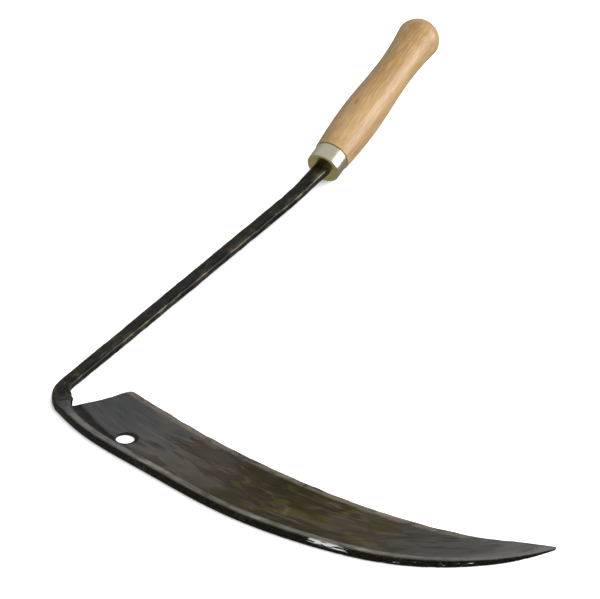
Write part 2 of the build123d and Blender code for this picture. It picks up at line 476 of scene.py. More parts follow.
# %% Blade section
RIB_HEIGHT = 6.3
RIB_WIDTH = 6.6
RIB_ROUND = 1.1
RIB_FOOT = 2.4
RIB_TIP_SHARE = 0.14
RIB_TAPER_POWER = 8
FOOT_HOLLOW = 0.25  # how far the rib's foot is hollowed, as a share of its size
FOOT_PULL = 0.6
FLARE_WIDTH = 5.2  # at the heel the rib spreads nearly to the width of the bar
FLARE_RUN = 5.5
FLARE_POWER = 1.5
FLARE_FOOT = 0.5  # the rib's foot shrinks to this share there
PLATE_THICKNESS = 1.5
PLATE_TIP_SHARE = 0.4
EDGE_THICKNESS = 0.4
BEVEL_WIDTH = 5.5
BEVEL_THICKNESS = 1.1
BEVEL_SHARE = 0.3
DISH_HEIGHT = 4.2
DISH_WIDTH = 50.0
BELLY_SHARE = 0.42  # up to here the underside lies flat on the table
BELLY_LIMIT = 0.97
HEEL_ROUND = 2.6  # rounding of the plate's corner at the heel
TIP_ROUND = 1.8
EDGE_GAP = 0.12  # the last column stands this far from the edge
CORNER_COUNT = 4  # points on each stretch of the section
SIDE_COUNT = 6
TOP_COUNT = 5
INNER_COUNT = 3
FOOT_COUNT = 6
UNDER_COUNT = 6
PLATE_COLUMNS = 50
BEVEL_COLUMNS = 8


def straight(first, last, count):
    """Points from first up to, but not including, last."""
    share = (np.arange(count) / count)[:, None]
    return np.array(first) + (np.array(last) - np.array(first)) * share


def bow(first, corner, last, count):
    """A rounded corner from first up to, but not including, last."""
    share = (np.arange(count) / count)[:, None]
    first, corner, last = np.array(first), np.array(corner), np.array(last)
    return (1 - share) ** 2 * first + 2 * share * (1 - share) * corner + share ** 2 * last


def plate_columns(width, inner, bevel):
    """Distances from the back at which the plate has points."""
    shoulder = width - bevel
    plate = inner + (shoulder - inner) * np.arange(PLATE_COLUMNS) / PLATE_COLUMNS
    return np.concatenate([plate, np.linspace(shoulder, width - EDGE_GAP, BEVEL_COLUMNS)])


def blade_ring(width, scale, heel_nearness):
    """One closed section: distance from the back and height, as pairs."""
    rib = RIB_WIDTH * scale + FLARE_WIDTH * heel_nearness
    height = RIB_HEIGHT * scale
    r = RIB_ROUND * scale
    foot = RIB_FOOT * scale * (1 - FLARE_FOOT * heel_nearness)
    thick = PLATE_THICKNESS * (PLATE_TIP_SHARE + (1 - PLATE_TIP_SHARE) * scale)
    shoulder = min(BEVEL_THICKNESS, thick)
    bevel = min(BEVEL_WIDTH, BEVEL_SHARE * width)
    belly = min(max(BELLY_SHARE * width, rib + foot), BELLY_LIMIT * width)
    lift = DISH_HEIGHT * min(1, width / DISH_WIDTH)
    inner = min(rib + foot, width - bevel - 0.2)
    rib = inner - foot
    columns = plate_columns(width, inner, bevel)
    under = lift * (np.clip(columns - belly, 0, None) / (width - belly)) ** 2
    body = np.interp(columns, [belly, max(width - bevel, belly + 0.01)], [thick, shoulder])
    ground = np.interp(columns, [width - bevel, width], [shoulder, EDGE_THICKNESS])
    body = np.where(columns > width - bevel, ground, body)
    over = np.column_stack([columns, under + body])
    below = np.column_stack([columns, under])[::-1]
    pull = FOOT_HOLLOW * foot * FOOT_PULL
    return np.concatenate([
        bow((r, 0), (0, 0), (0, r), CORNER_COUNT),
        straight((0, r), (0, height - r), SIDE_COUNT),
        bow((0, height - r), (0, height), (r, height), CORNER_COUNT),
        straight((r, height), (rib - r, height), TOP_COUNT),
        bow((rib - r, height), (rib, height), (rib, height - r), CORNER_COUNT),
        straight((rib, height - r), (rib, thick + foot), INNER_COUNT),
        bow((rib, thick + foot), (rib + pull, thick + pull), (inner, thick), FOOT_COUNT),
        over,
        [(width, lift + EDGE_THICKNESS / 2)],
        below,
        straight((inner, 0), (r, 0), UNDER_COUNT)[1:],
    ])


TOP_FIRST = 2 * CORNER_COUNT + SIDE_COUNT
OVER_FIRST = TOP_FIRST + TOP_COUNT + CORNER_COUNT + INNER_COUNT + FOOT_COUNT
OVER_COUNT = PLATE_COLUMNS + BEVEL_COLUMNS
BELOW_FIRST = OVER_FIRST + OVER_COUNT + 1

rib_scale = 1 - (1 - RIB_TIP_SHARE) * station_share ** RIB_TAPER_POWER
heel_nearness = np.exp(-(stations / FLARE_RUN) ** FLARE_POWER)
from_corner = np.clip(HEEL_ROUND - stations, 0, HEEL_ROUND)
heel_cut = HEEL_ROUND - np.sqrt(HEEL_ROUND ** 2 - from_corner ** 2)
ring_width = plate_width - heel_cut
rings = np.array([blade_ring(w, s, n) for w, s, n in zip(ring_width, rib_scale, heel_nearness)])
ring_count = rings.shape[1]
print("blade rings and points in each:", rings.shape[:2])

# %% Weld lumps
WELD_LUMPS = [  # place along +X and +Y, radius and height of each, in millimetres
    (7.1, 1.3, 2.3, -1.5), (11.5, -4.0, 2.0, 0.5), (15.5, -8.0, 1.5, -0.6), (19.0, -9.6, 1.8, 0.4),
    (23.5, -13.0, 2.0, 0.35), (3.0, 5.5, 2.2, 0.4), (-0.5, 11.0, 2.6, -0.6), (10.5, 8.0, 1.7, -0.8),
]
WELD_FLAT = (2.0, 5.0)  # below the first height nothing is lumpy, above the second all is


def weld_lumps(x, y, z):
    """The uneven top of the forge weld, where the bar meets the blade. Its underside stays flat."""
    total = 0.0
    for lump_x, lump_y, radius, rise in WELD_LUMPS:
        total = total + rise * np.exp(-((x - lump_x) ** 2 + (y - lump_y) ** 2) / radius ** 2)
    return z + total * soft_step(z, *WELD_FLAT)


print("weld lumps:", len(WELD_LUMPS))

# %% Blade points
FORGED_WAVES, FORGED_HEIGHT = (52.0, 22.0), 0.22  # lengths along and across, and height, in mm
STREAK_WAVES, STREAK_HEIGHT = (70.0, 6.5), 0.05
HAMMER_WAVES, HAMMER_HEIGHT = (7.5, 9.0), 0.09
BACK_WAVE, BACK_WANDER = 11.0, 0.28
EDGE_WAVE, EDGE_WANDER = 34.0, 0.16
FULL_WIDTH = 30.0  # a narrower plate than this is hammered less
GROOVE_START, GROOVE_DRIFT = 15.2, 0.055  # the groove nears the rib as it runs on
GROOVE_WIDTH, GROOVE_TAPER, TAPER_END = 4.6, 0.030, 60.0
GROOVE_DEPTH = 0.55
from_back = rings[:, :, 0]
height = rings[:, :, 1]
along = np.repeat(stations[:, None], ring_count, axis=1)
column_place = np.arange(ring_count)
is_over = (column_place >= OVER_FIRST) & (column_place < BELOW_FIRST)
is_below = column_place >= BELOW_FIRST

plan = back_line[:, None, :] + outward[:, None, :] * from_back[:, :, None]
tip_distance = np.clip(TIP_ROUND - (BACK_RUN - stations), 0, TIP_ROUND) / TIP_ROUND
tip_share = np.sqrt(np.clip(1 - tip_distance ** 2, 0.02, 1))[:, None]
tip_middle = (back_line + edge_line)[:, None, :] / 2
plan = tip_middle + (plan - tip_middle) * tip_share[:, :, None]
tip_height = (rings[:, :, 1].max(axis=1, keepdims=True)) * 0.5
height = tip_height + (height - tip_height) * tip_share

places = np.stack([along, from_back], axis=-1)
from_edge = ring_width[:, None] - from_back
plate_amount = soft_step(from_back, 8.0, 14.0) * np.clip(plate_width / FULL_WIDTH, 0, 1)[:, None]
forged = ripples(places, FORGED_WAVES, 9, seed=11) * FORGED_HEIGHT * soft_step(along, 0.0, 25.0)
streaked = ripples(places, STREAK_WAVES, 9, seed=12) * STREAK_HEIGHT
hammered = ripples(places, HAMMER_WAVES, 8, seed=13) * HAMMER_HEIGHT
near_edge = soft_step(from_edge, 8.5, 4.0) * soft_step(along, 395.0, 330.0)
groove_middle = GROOVE_START - GROOVE_DRIFT * along
groove_width = GROOVE_WIDTH - GROOVE_TAPER * np.minimum(along, TAPER_END)
groove = np.exp(-((from_back - groove_middle) / groove_width) ** 2) * soft_step(along, 72.0, 45.0)
lift = (forged + streaked) * plate_amount + hammered * near_edge - GROOVE_DEPTH * groove
under_lift = np.abs(forged) * 0.5 * plate_amount  # the underside is never pressed below the table
height = height + np.where(is_below, under_lift, np.where(is_over, lift, 0.0))
height = weld_lumps(plan[:, :, 0], plan[:, :, 1], height)

back_wander = np.abs(ripples(places[..., :1], (BACK_WAVE,), 6, seed=14)) * BACK_WANDER
back_wander = back_wander * soft_step(along, 150.0, 330.0)
edge_wander = (ripples(places[..., :1], (EDGE_WAVE,), 5, seed=15) * 0.5 + 0.5).clip(0, 1) * EDGE_WANDER
wander = back_wander * soft_step(from_back, 3.0, 0.5) - edge_wander * soft_step(from_edge, 5.0, 0.5)
plan = plan + outward[:, None, :] * wander[:, :, None]

points = np.concatenate([plan, height[:, :, None]], axis=-1)
print("blade box, mm:", points.min(axis=(0, 1)).round(2), points.max(axis=(0, 1)).round(2))

# %% Hanging hole
HOLE_MIDDLE = np.array([61.7, -8.5])
HOLE_RADIUS = 6.5
HOLE_REACH = 6  # quads from the middle of the hole to its rim, in the mesh
HOLE_SOFTENING = 6  # quads over which the mesh bends round the rim
over_plan = points[:, OVER_FIRST:OVER_FIRST + OVER_COUNT, :2]
gap = np.linalg.norm(over_plan - HOLE_MIDDLE, axis=-1)
row_middle, column_middle = np.unravel_index(gap.argmin(), gap.shape)
rows = np.arange(len(stations))[:, None]
columns = np.arange(OVER_COUNT)[None, :]
reach = np.maximum(np.abs(rows - row_middle), np.abs(columns - column_middle))
pull = 1 - soft_step(reach, HOLE_REACH, HOLE_REACH + HOLE_SOFTENING)
outwards = (over_plan - HOLE_MIDDLE) / np.maximum(gap, 1e-6)[..., None]
round_place = HOLE_MIDDLE + outwards * (HOLE_RADIUS * reach / HOLE_REACH)[..., None]
bent = over_plan + (round_place - over_plan) * pull[..., None]
bent = np.where((reach < HOLE_REACH)[..., None], over_plan, bent)
points[:, OVER_FIRST:OVER_FIRST + OVER_COUNT, :2] = bent
points[:, BELOW_FIRST:BELOW_FIRST + OVER_COUNT, :2] = bent[:, ::-1]
print("hole rows and columns:", row_middle, column_middle)

# %% Blade faces
def in_hole(row, column):
    """Whether a quad, on the top or on the underside, falls in the hole."""
    across = column - OVER_FIRST if column < BELOW_FIRST else OVER_COUNT - 2 - (column - BELOW_FIRST)
    return abs(row + 0.5 - row_middle) < HOLE_REACH and abs(across + 0.5 - column_middle) < HOLE_REACH


def rim_loop():
    """Grid places round the hole, one after another."""
    low_row, high_row = row_middle - HOLE_REACH, row_middle + HOLE_REACH
    low, high = column_middle - HOLE_REACH, column_middle + HOLE_REACH
    loop = [(low_row, c) for c in range(low, high)]
    loop += [(r, high) for r in range(low_row, high_row)]
    loop += [(high_row, c) for c in range(high, low, -1)]
    loop += [(r, low) for r in range(high_row, low_row, -1)]
    return loop


def rim_points(row, column):
    """The points of the top and of the underside at one place on the rim."""
    under_column = BELOW_FIRST + OVER_COUNT - 1 - column
    return [point_number(row, c, ring_count) for c in (OVER_FIRST + column, under_column)]


faces = tube_faces(len(stations), ring_count, in_hole)
rim = rim_loop()
for this, following in zip(rim, rim[1:] + rim[:1]):
    faces.append(rim_points(*this) + rim_points(*following)[::-1])
print("blade faces:", len(faces), "with", len(rim), "round the hole")

# %% Marks for the blade's finish
SIDE_FADE = (0.9, 0.7, 0.35, 0.1)  # over the rib's outer corner, from the side to the top
TOP_FADE = (0.35, 0.8)
# a faint band of painted shade along the plate near the heel: its middle and width in mm, and its
# strength
FAINT_MIDDLE, FAINT_WIDTH, FAINT_SHADE_STRENGTH = 12.0, 3.6, 0.42
HOLE_SHADE_SHIFT = np.array([1.3, 1.2])  # the painted shade round the hole lies a little to one side
HOLE_SHADE_STRENGTH = 0.8
UNDERSIDE_SHIFT = 5.0  # gives the underside a pattern of its own
fade_first = TOP_FIRST - 2
fade_last = fade_first + len(SIDE_FADE)
bright_last = TOP_FIRST + TOP_COUNT + CORNER_COUNT + INNER_COUNT + 1
on_side = np.zeros(ring_count)
on_side[:fade_first] = 1.0
on_side[fade_first:fade_last] = SIDE_FADE
on_side[-UNDER_COUNT:] = 1.0
on_rib = np.zeros(ring_count)
on_rib[TOP_FIRST:bright_last] = 1.0
on_rib[TOP_FIRST:TOP_FIRST + len(TOP_FADE)] = TOP_FADE

side = np.broadcast_to(on_side, along.shape)
# painted sheen: the rib's top, and the plate next to the back towards the tip, are made paler where light
# would catch them
painted_foot_sheen = soft_step(from_back, 15.0, 5.0) * soft_step(along, 290.0, 350.0) * is_over
top = np.maximum(on_rib * soft_step(along, 1.0, 26.0), painted_foot_sheen)
band = np.where(is_over | is_below, soft_step(from_edge, 5.6, 2.8), 0.0)
band = band * soft_step(along, 395.0, 320.0)
faint_groove_shade = np.exp(-((from_back - FAINT_MIDDLE) / FAINT_WIDTH) ** 2)
faint_groove_shade = faint_groove_shade * soft_step(along, 165.0, 70.0) * FAINT_SHADE_STRENGTH
# painted shade: a dark ring round the hanging hole, standing in for the shade of a sunken rim
hole_gap = np.linalg.norm(points[:, :, :2] - HOLE_MIDDLE - HOLE_SHADE_SHIFT, axis=-1)
hole_shade = soft_step(hole_gap, 9.3, 6.3) * HOLE_SHADE_STRENGTH
# painted shade: the groove beside the rib, the faint band and the hole's rim are darkened in colour
hollow = np.where(is_over, np.maximum(np.maximum(groove, faint_groove_shade), hole_shade), 0.0)
deep = height / 10 + np.where(is_below, UNDERSIDE_SHIFT, 0.0)
flow = np.stack([along / 10, from_back / 10, deep], axis=-1)

# %% Blade piece
point_count = points.shape[0] * ring_count
used = np.zeros(point_count, bool)
for face in faces:
    used[face] = True
renumber = np.cumsum(used) - 1
faces = [renumber[face].tolist() for face in faces]
carried = {"flow": flow, "side": side, "top": top, "band": band, "hollow": hollow}
carried = {label: values.reshape(point_count, -1)[used] for label, values in carried.items()}
blade = make_piece("blade_forged", points.reshape(-1, 3)[used], faces, carried)
print("blade volume, cm3:", round(enclosed(blade.data), 2))

# %% [markdown]
# ### Steel that has been in the fire
# Forged plate isn't one grey. Near the heel it is bluish, then it runs through brown and olive heat
# colours with darker outlines where scale came off in islands, and towards the tip it was ground
# nearly clean. The finish follows the blade, so it reads the distances that the mesh carries, and a
# ramp along the length gives the zones. All of it is metal, so the colours are dark tints of what
# the surface reflects.

# %% Blade finish
WHOLE_ZONES = 42.5  # centimetres of blade that the ramp of zones covers
ISLAND_LINE = 0.51  # the noise has this value on the outline of an island of scale
steel = Bench(bpy.data.materials.new("forged_blade_steel"))
place = steel.attribute("flow", "Vector")
along_blade = steel.part(place, 0)
cloud = steel.noise(place, (0.32, 0.55, 0.6), detail=3.0)
fine_cloud = steel.noise(place, (0.9, 2.2, 1.0), detail=5.0, distortion=0.4)
streak = steel.noise(place, (0.24, 2.7, 3.0), detail=6.0, roughness=0.60, distortion=0.5)
hair = steel.noise(place, (0.9, 26.0, 9.0), detail=3.0, roughness=0.6)

zone_place = (along_blade + (cloud - 0.5) * 15.0 + (streak - 0.5) * 9.0) / WHOLE_ZONES
zone = steel.node("ShaderNodeValToRGB", {"stops": [
    (0.00, (0.090, 0.093, 0.093, 1)),
    (0.13, (0.106, 0.107, 0.106, 1)),
    (0.20, (0.146, 0.130, 0.114, 1)),
    (0.30, (0.116, 0.100, 0.076, 1)),
    (0.37, (0.060, 0.048, 0.017, 1)),
    (0.46, (0.040, 0.031, 0.006, 1)),
    (0.54, (0.058, 0.046, 0.011, 1)),
    (0.62, (0.096, 0.082, 0.046, 1)),
    (0.70, (0.096, 0.090, 0.078, 1)),
    (0.88, (0.122, 0.120, 0.111, 1)),
    (1.00, (0.190, 0.187, 0.175, 1)),
]}, {0: zone_place})

# %% Scale, streaks and tints on the blade, with painted shade and sheen
scaled_part = steel.step(along_blade, 5.0, 9.0) * steel.step(along_blade, 34.0, 30.0)
island_noise = steel.noise(place, (0.13, 0.50, 0.5), detail=3.5, distortion=0.9)
off_island = island_noise - ISLAND_LINE
outline = steel.step(off_island * off_island, 0.00080, 0.00004) * scaled_part
inside = steel.step(island_noise, ISLAND_LINE, 0.53) * scaled_part
bare_streak = steel.step(streak, 0.56, 0.70)
dark_streak = steel.step(streak, 0.46, 0.33)
gold_patch = steel.noise(place, (0.30, 0.85, 1.0), detail=4.0, distortion=0.5)
gold_part = steel.step(along_blade, 12.0, 16.0) * steel.step(along_blade, 31.0, 26.0)
gold = steel.step(gold_patch, 0.50, 0.64) * gold_part
hollow_shade_mask = steel.attribute("hollow") * (0.55 + fine_cloud * 0.7)
band_mask = steel.attribute("band") * steel.step(streak + fine_cloud, 0.75, 1.05)
top_sheen_mask = steel.attribute("top") * steel.step(fine_cloud + streak * 0.6, 0.45, 0.95)
colour = steel.layered(zone, (
    (inside * 0.45, (0.046, 0.036, 0.014)),
    (bare_streak * 0.55, (0.200, 0.192, 0.176)),
    (dark_streak * 0.65, (0.022, 0.022, 0.022)),
    (outline * 0.85, (0.034, 0.018, 0.004)),
    (gold * 0.70, (0.128, 0.104, 0.018)),
    (steel.step(hair, 0.62, 0.80) * 0.16, (0.20, 0.195, 0.18)),
    # painted shade in the groove beside the rib and round the hole
    (steel.step(hollow_shade_mask, 0.14, 0.66), (0.012, 0.010, 0.007)),
    (band_mask * 0.85, (0.300, 0.252, 0.205)),
    # painted sheen on the rib's top and near the tip
    (top_sheen_mask * 0.85, (0.290, 0.284, 0.258)),
))
print("nodes so far:", len(steel.tree.nodes))

# %% Pitted side and chipped scale
CHIP_LINE = 0.68  # where the chipping noise is above this, the scale has come off
CHIP_SOFTNESS = 0.03
side_mask = steel.attribute("side")
pitted = steel.noise(place, (3.2, 3.2, 9.0), detail=5.0, roughness=0.7)
side_colour = steel.mix(steel.step(pitted, 0.42, 0.72), (0.014, 0.012, 0.008), (0.085, 0.068, 0.044))
chip_run = steel.noise(place, (0.75, 3.0, 8.0), detail=4.0, roughness=0.6)
chip_zone = steel.step(along_blade, 24.0, 25.2) * steel.step(along_blade, 28.6, 27.2)
chip_rest = steel.step(along_blade, 28.0, 31.0)
chip_line = CHIP_LINE - chip_zone * 0.20 - chip_rest * 0.05
chip_edge = steel.step(steel.part(place, 2), 0.26, 0.40) * chip_zone + chip_rest
chips = side_mask * chip_edge * steel.step(chip_run, chip_line, chip_line + CHIP_SOFTNESS)
colour = steel.layered(colour, ((side_mask, side_colour), (chips, (0.85, 0.84, 0.82))))

metallic = 0.94 - chips * 0.6 - outline * 0.3
roughness = 0.34 + (fine_cloud - 0.5) * 0.25 + inside * 0.08 - bare_streak * 0.06 + side_mask * 0.06
relief = streak * 0.8 + fine_cloud * 0.6 + hair * 0.04 - outline * 0.25 + side_mask * pitted * 1.2
blade.data.materials.append(steel.finish(
    {
        "Base Color": colour, "Metallic": metallic, "Roughness": roughness,
        "Normal": steel.bump(relief, 0.5, 0.00012),
    },
    {"Coat Weight": 0.07, "Coat Roughness": 0.25, "Coat IOR": 1.45, "IOR": 1.6},
))

# %% [markdown]
# ## The bar
# The shank is a flat bar with its corners knocked off, bent round the horn of the anvil at the
# heel and lifted a little before the handle, where it swells to a shoulder. Behind the shoulder it
# goes on as a pointed tang, hidden in the wood. The mesh follows the smith's own bends: each
# stretch gives the middle of the bar, its heading and its pitch, and a ring of points is set up
# square to them.

# %% Bar path
BAR_WIDTH = 10.0
BAR_HEIGHT = 6.0
BAR_CORNER = 1.9
HEEL_WIDTH = 13.0
NECK_WIDTH = 11.4
NECK_HEIGHT = 7.0
ELBOW_RADIUS = 37.0
SHANK_REACH = 323.6
SHANK_DRIFT = 1.55
CRANK_RADIUS = 210.0
CRANK_PITCH = 6.4
NECK_LENGTH = 26.0
HANDLE_PITCH = 15.7
HANDLE_HEADING = -0.7
TANG_SIZES = (8.4, 5.2)
TANG_END_SIZES = (4.0, 3.0)
TANG_LENGTH = 96.0
FERRULE_RADIUS = 12.3
FERRULE_RIM = 1.6
ELBOW_RINGS = 44  # rings of points along each stretch
SHANK_RINGS = 250
CRANK_RINGS = 22
NECK_RINGS = 28
TANG_RINGS = 12
SWELL_POWER = 1.6
TANG_GAP = 0.02  # keeps the tang's first ring apart from the neck's last one


def ahead(heading, pitch=0.0):
    """Unit vector at a heading from +Y towards +X, in degrees, raised by a pitch."""
    turned, raised = math.radians(heading), math.radians(pitch)
    level = math.cos(raised)
    return np.array([math.sin(turned) * level, math.cos(turned) * level, math.sin(raised)])


def to_right(heading):
    """Unit vector to the right of a heading."""
    return ahead(heading + 90.0)


heel_direction = edge_line[0] / np.linalg.norm(edge_line[0])
joint_heading = -math.degrees(math.atan2(heel_direction[1], heel_direction[0]))
elbow_centre = to_right(joint_heading) * ELBOW_RADIUS
bar_middle = np.array([0, 0, BAR_HEIGHT / 2])
elbow_end = elbow_centre - to_right(SHANK_DRIFT) * (ELBOW_RADIUS - BAR_WIDTH / 2) + bar_middle
rim_level = (FERRULE_RADIUS - FERRULE_RIM) * math.cos(math.radians(HANDLE_PITCH))
face_height = rim_level + FERRULE_RIM * (1 - math.sin(math.radians(HANDLE_PITCH)))
face_centre = np.array([elbow_end[0], elbow_end[1], face_height]) + ahead(SHANK_DRIFT) * SHANK_REACH
handle_axis = ahead(HANDLE_HEADING, HANDLE_PITCH)

neck_rise = math.radians(CRANK_PITCH)
crank_along = SHANK_REACH - NECK_LENGTH * math.cos(neck_rise) - CRANK_RADIUS * math.sin(neck_rise)
crank_up = face_height - NECK_LENGTH * math.sin(neck_rise) + CRANK_RADIUS * math.cos(neck_rise)
crank_above = crank_up - BAR_HEIGHT / 2
crank_gap = math.hypot(crank_above, crank_along)
straight_pitch = math.degrees(math.atan2(crank_above, crank_along) - math.asin(CRANK_RADIUS / crank_gap))
print("ferrule's face, mm in the frame:", (face_centre + heel_zero).round(2))
print("the frame's ferrule, mm:", [round(v / MM, 2) for v in (*ferrule_low, *ferrule_high)])


def between(first, last, share):
    """The value at a share of the way from first to last."""
    return first + (last - first) * share


def crank_point(pitch):
    """Middle of the bar on the upward bend, where the bar has this pitch."""
    reach = crank_along + CRANK_RADIUS * math.sin(math.radians(pitch))
    up = crank_up - CRANK_RADIUS * math.cos(math.radians(pitch))
    return np.array([elbow_end[0], elbow_end[1], up]) + ahead(SHANK_DRIFT) * reach


bar = []  # middle, direction, width and height of each ring
for share in np.linspace(0, 1, ELBOW_RINGS, endpoint=False):
    heading = between(joint_heading, SHANK_DRIFT, share)
    width = between(HEEL_WIDTH, BAR_WIDTH, share)
    middle = elbow_centre - to_right(heading) * (ELBOW_RADIUS - width / 2) + bar_middle
    bar.append((middle, ahead(heading), width, BAR_HEIGHT))
crank_start = crank_point(straight_pitch)
for share in np.linspace(0, 1, SHANK_RINGS, endpoint=False):
    middle = between(elbow_end, crank_start, share)
    bar.append((middle, ahead(SHANK_DRIFT, straight_pitch), BAR_WIDTH, BAR_HEIGHT))
for share in np.linspace(0, 1, CRANK_RINGS, endpoint=False):
    pitch = between(straight_pitch, CRANK_PITCH, share)
    bar.append((crank_point(pitch), ahead(SHANK_DRIFT, pitch), BAR_WIDTH, BAR_HEIGHT))
neck_start = crank_point(CRANK_PITCH)
for share in np.linspace(0, 1, NECK_RINGS):
    heading = between(SHANK_DRIFT, HANDLE_HEADING, share)
    pitch = between(CRANK_PITCH, HANDLE_PITCH, share)
    width = between(BAR_WIDTH, NECK_WIDTH, share ** SWELL_POWER)
    tall = between(BAR_HEIGHT, NECK_HEIGHT, share ** SWELL_POWER)
    bar.append((between(neck_start, face_centre, share), ahead(heading, pitch), width, tall))
bar_rings = len(bar)
for share in np.linspace(0, 1, TANG_RINGS):
    width = between(TANG_SIZES[0], TANG_END_SIZES[0], share)
    tall = between(TANG_SIZES[1], TANG_END_SIZES[1], share)
    middle = face_centre + handle_axis * (TANG_LENGTH * share + TANG_GAP)
    bar.append((middle, handle_axis, width, tall))
print("rings along the bar and the tang:", bar_rings, len(bar) - bar_rings)

# %% Bar rings
ARC_POINTS = 6  # points on each rounded corner of the bar's section
FLAT_POINTS = 5
CORNER_LIMIT = 0.4  # a corner is never rounder than this share of the height
WELD_MIDDLE = 9.0  # millimetres along the bar at which the weld is widest
WELD_RUN = 8.0
WELD_START = 7.0
WELD_SPREAD = 2.4  # it stands out on the inner side of the bend, and is lower there
WELD_DROP = 1.5


def bar_ring(width, tall, corner):
    """A rounded rectangle as pairs of sideways and upward distances, seen from behind."""
    arcs = []
    for sign_x, sign_y, start in ((1, -1, -90), (1, 1, 0), (-1, 1, 90), (-1, -1, 180)):
        middle = np.array([sign_x * (width / 2 - corner), sign_y * (tall / 2 - corner)])
        angles = np.radians(start + np.linspace(0, 90, ARC_POINTS))
        arcs.append(middle + corner * np.column_stack([np.cos(angles), np.sin(angles)]))
    loops = []
    for this, following in zip(arcs, arcs[1:] + arcs[:1]):
        loops += [this, straight(this[-1], following[0], FLAT_POINTS)[1:]]
    return np.concatenate(loops)


bar_steps = [np.linalg.norm(b[0] - a[0]) for a, b in zip(bar, bar[1:])]
run_length = np.concatenate([[0.0], np.cumsum(bar_steps)])
bar_points = []
for distance, (middle, direction, width, tall) in zip(run_length, bar):
    ring = bar_ring(width, tall, min(BAR_CORNER, CORNER_LIMIT * tall))
    sideways = np.array([direction[1], -direction[0], 0.0])
    sideways /= np.linalg.norm(sideways)
    upward = np.cross(sideways, direction)
    nearness = math.exp(-((distance - WELD_MIDDLE) / WELD_RUN) ** 2)
    nearness = nearness * float(soft_step(distance, 0.0, WELD_START))
    lumpy = 1 + 0.3 * math.sin(distance * 0.9) + 0.2 * math.sin(distance * 0.43 + 1.0)
    inner = soft_step(ring[:, 0], 0.0, width / 2)
    ring[:, 0] += WELD_SPREAD * nearness * lumpy * inner
    ring[:, 1] -= WELD_DROP * nearness * inner * (ring[:, 1] > 0)
    bar_points.append(middle + ring[:, :1] * sideways + ring[:, 1:] * upward)
bar_points = np.array(bar_points)
ring_size = bar_points.shape[1]
print("points in each ring of the bar:", ring_size)

# %% Hammer marks and nicks on the bar
LONG_WAVES, LONG_HEIGHT = (34.0, 16.0, 16.0), 0.11
SHORT_WAVES, SHORT_HEIGHT = (11.0, 9.0, 9.0), 0.05
NICK_COUNT = 46
NICK_RUN = (5, 315)  # millimetres along the bar between which the nicks lie
NICK_CORNER = (3.4, 2.2)
NICK_SIZE = (0.8, 2.2)
NICK_DEPTH = (0.1, 0.32)
SMOOTH_END = 2.0  # the last of the neck stays smooth, where it meets the ferrule
spokes = bar_points - np.array([entry[0] for entry in bar])[:, None, :]
spokes /= np.linalg.norm(spokes, axis=-1, keepdims=True)
round_bar = np.arange(ring_size) / ring_size
where = np.stack([
    np.repeat(run_length[:, None], ring_size, axis=1),
    np.broadcast_to(np.cos(2 * math.pi * round_bar) * 5, (len(bar), ring_size)),
    np.broadcast_to(np.sin(2 * math.pi * round_bar) * 3, (len(bar), ring_size)),
], axis=-1)
forging = ripples(where, LONG_WAVES, 10, seed=21) * LONG_HEIGHT
forging = forging + ripples(where, SHORT_WAVES, 10, seed=22) * SHORT_HEIGHT
draw = np.random.default_rng(23)
for _ in range(NICK_COUNT):
    nick_place = np.array([draw.uniform(*NICK_RUN), *draw.choice([-1, 1], 2) * NICK_CORNER])
    nick_size = draw.uniform(*NICK_SIZE)
    nick_gap = np.linalg.norm(where - nick_place, axis=-1)
    forging -= draw.uniform(*NICK_DEPTH) * np.exp(-(nick_gap / nick_size) ** 2)
visible_bar = (run_length < run_length[bar_rings - 1] - SMOOTH_END)[:, None]
bar_points = bar_points + spokes * (forging * visible_bar)[..., None]
bar_points[..., 2] = weld_lumps(bar_points[..., 0], bar_points[..., 1], bar_points[..., 2])
bar_points[..., 2] = np.maximum(bar_points[..., 2], 0.0)
bar_points[..., 0] = np.maximum(bar_points[..., 0], cad_low.x / MM - heel_zero[0])

bar_flow = where / 10
bar_flow[..., 1:] = (spokes @ np.array([[1.0, 0.0], [0.0, 1.0], [0.3, 0.9]])) * 0.5
shank = make_piece(
    "shank_forged", bar_points.reshape(-1, 3), tube_faces(len(bar), ring_size),
    {"flow": bar_flow.reshape(-1, 3)},
)
print("bar volume, cm3:", round(enclosed(shank.data), 2))

# %% [markdown]
# ### Black iron
# The bar was never ground. It keeps the thin black skin that iron gets in the fire, blue-black in
# places, brown where it has rusted a little and been oiled, with the metal shining through on the
# corners that hands and pockets rub. Its side towards the right is painted lighter in patches, as
# painted light from the window on that side.

# %% Bar finish
iron = Bench(bpy.data.materials.new("black_forge_scale"))
iron_place = iron.attribute("flow", "Vector")
iron_cloud = iron.noise(iron_place, (0.35, 1.2, 1.2), detail=4.0, distortion=0.5)
iron_patch = iron.noise(iron_place, (0.9, 2.4, 2.4), detail=5.0, roughness=0.6)
iron_grain = iron.noise(iron_place, (9.0, 14.0, 14.0), detail=4.0, roughness=0.7)
sharpness = iron.node("ShaderNodeNewGeometry", output="Pointiness")
worn = iron.step(sharpness + (iron_patch - 0.5) * 0.16, 0.535, 0.580)
patchy = iron.step(iron_cloud + (iron_patch - 0.5) * 0.8, 0.42, 0.68)
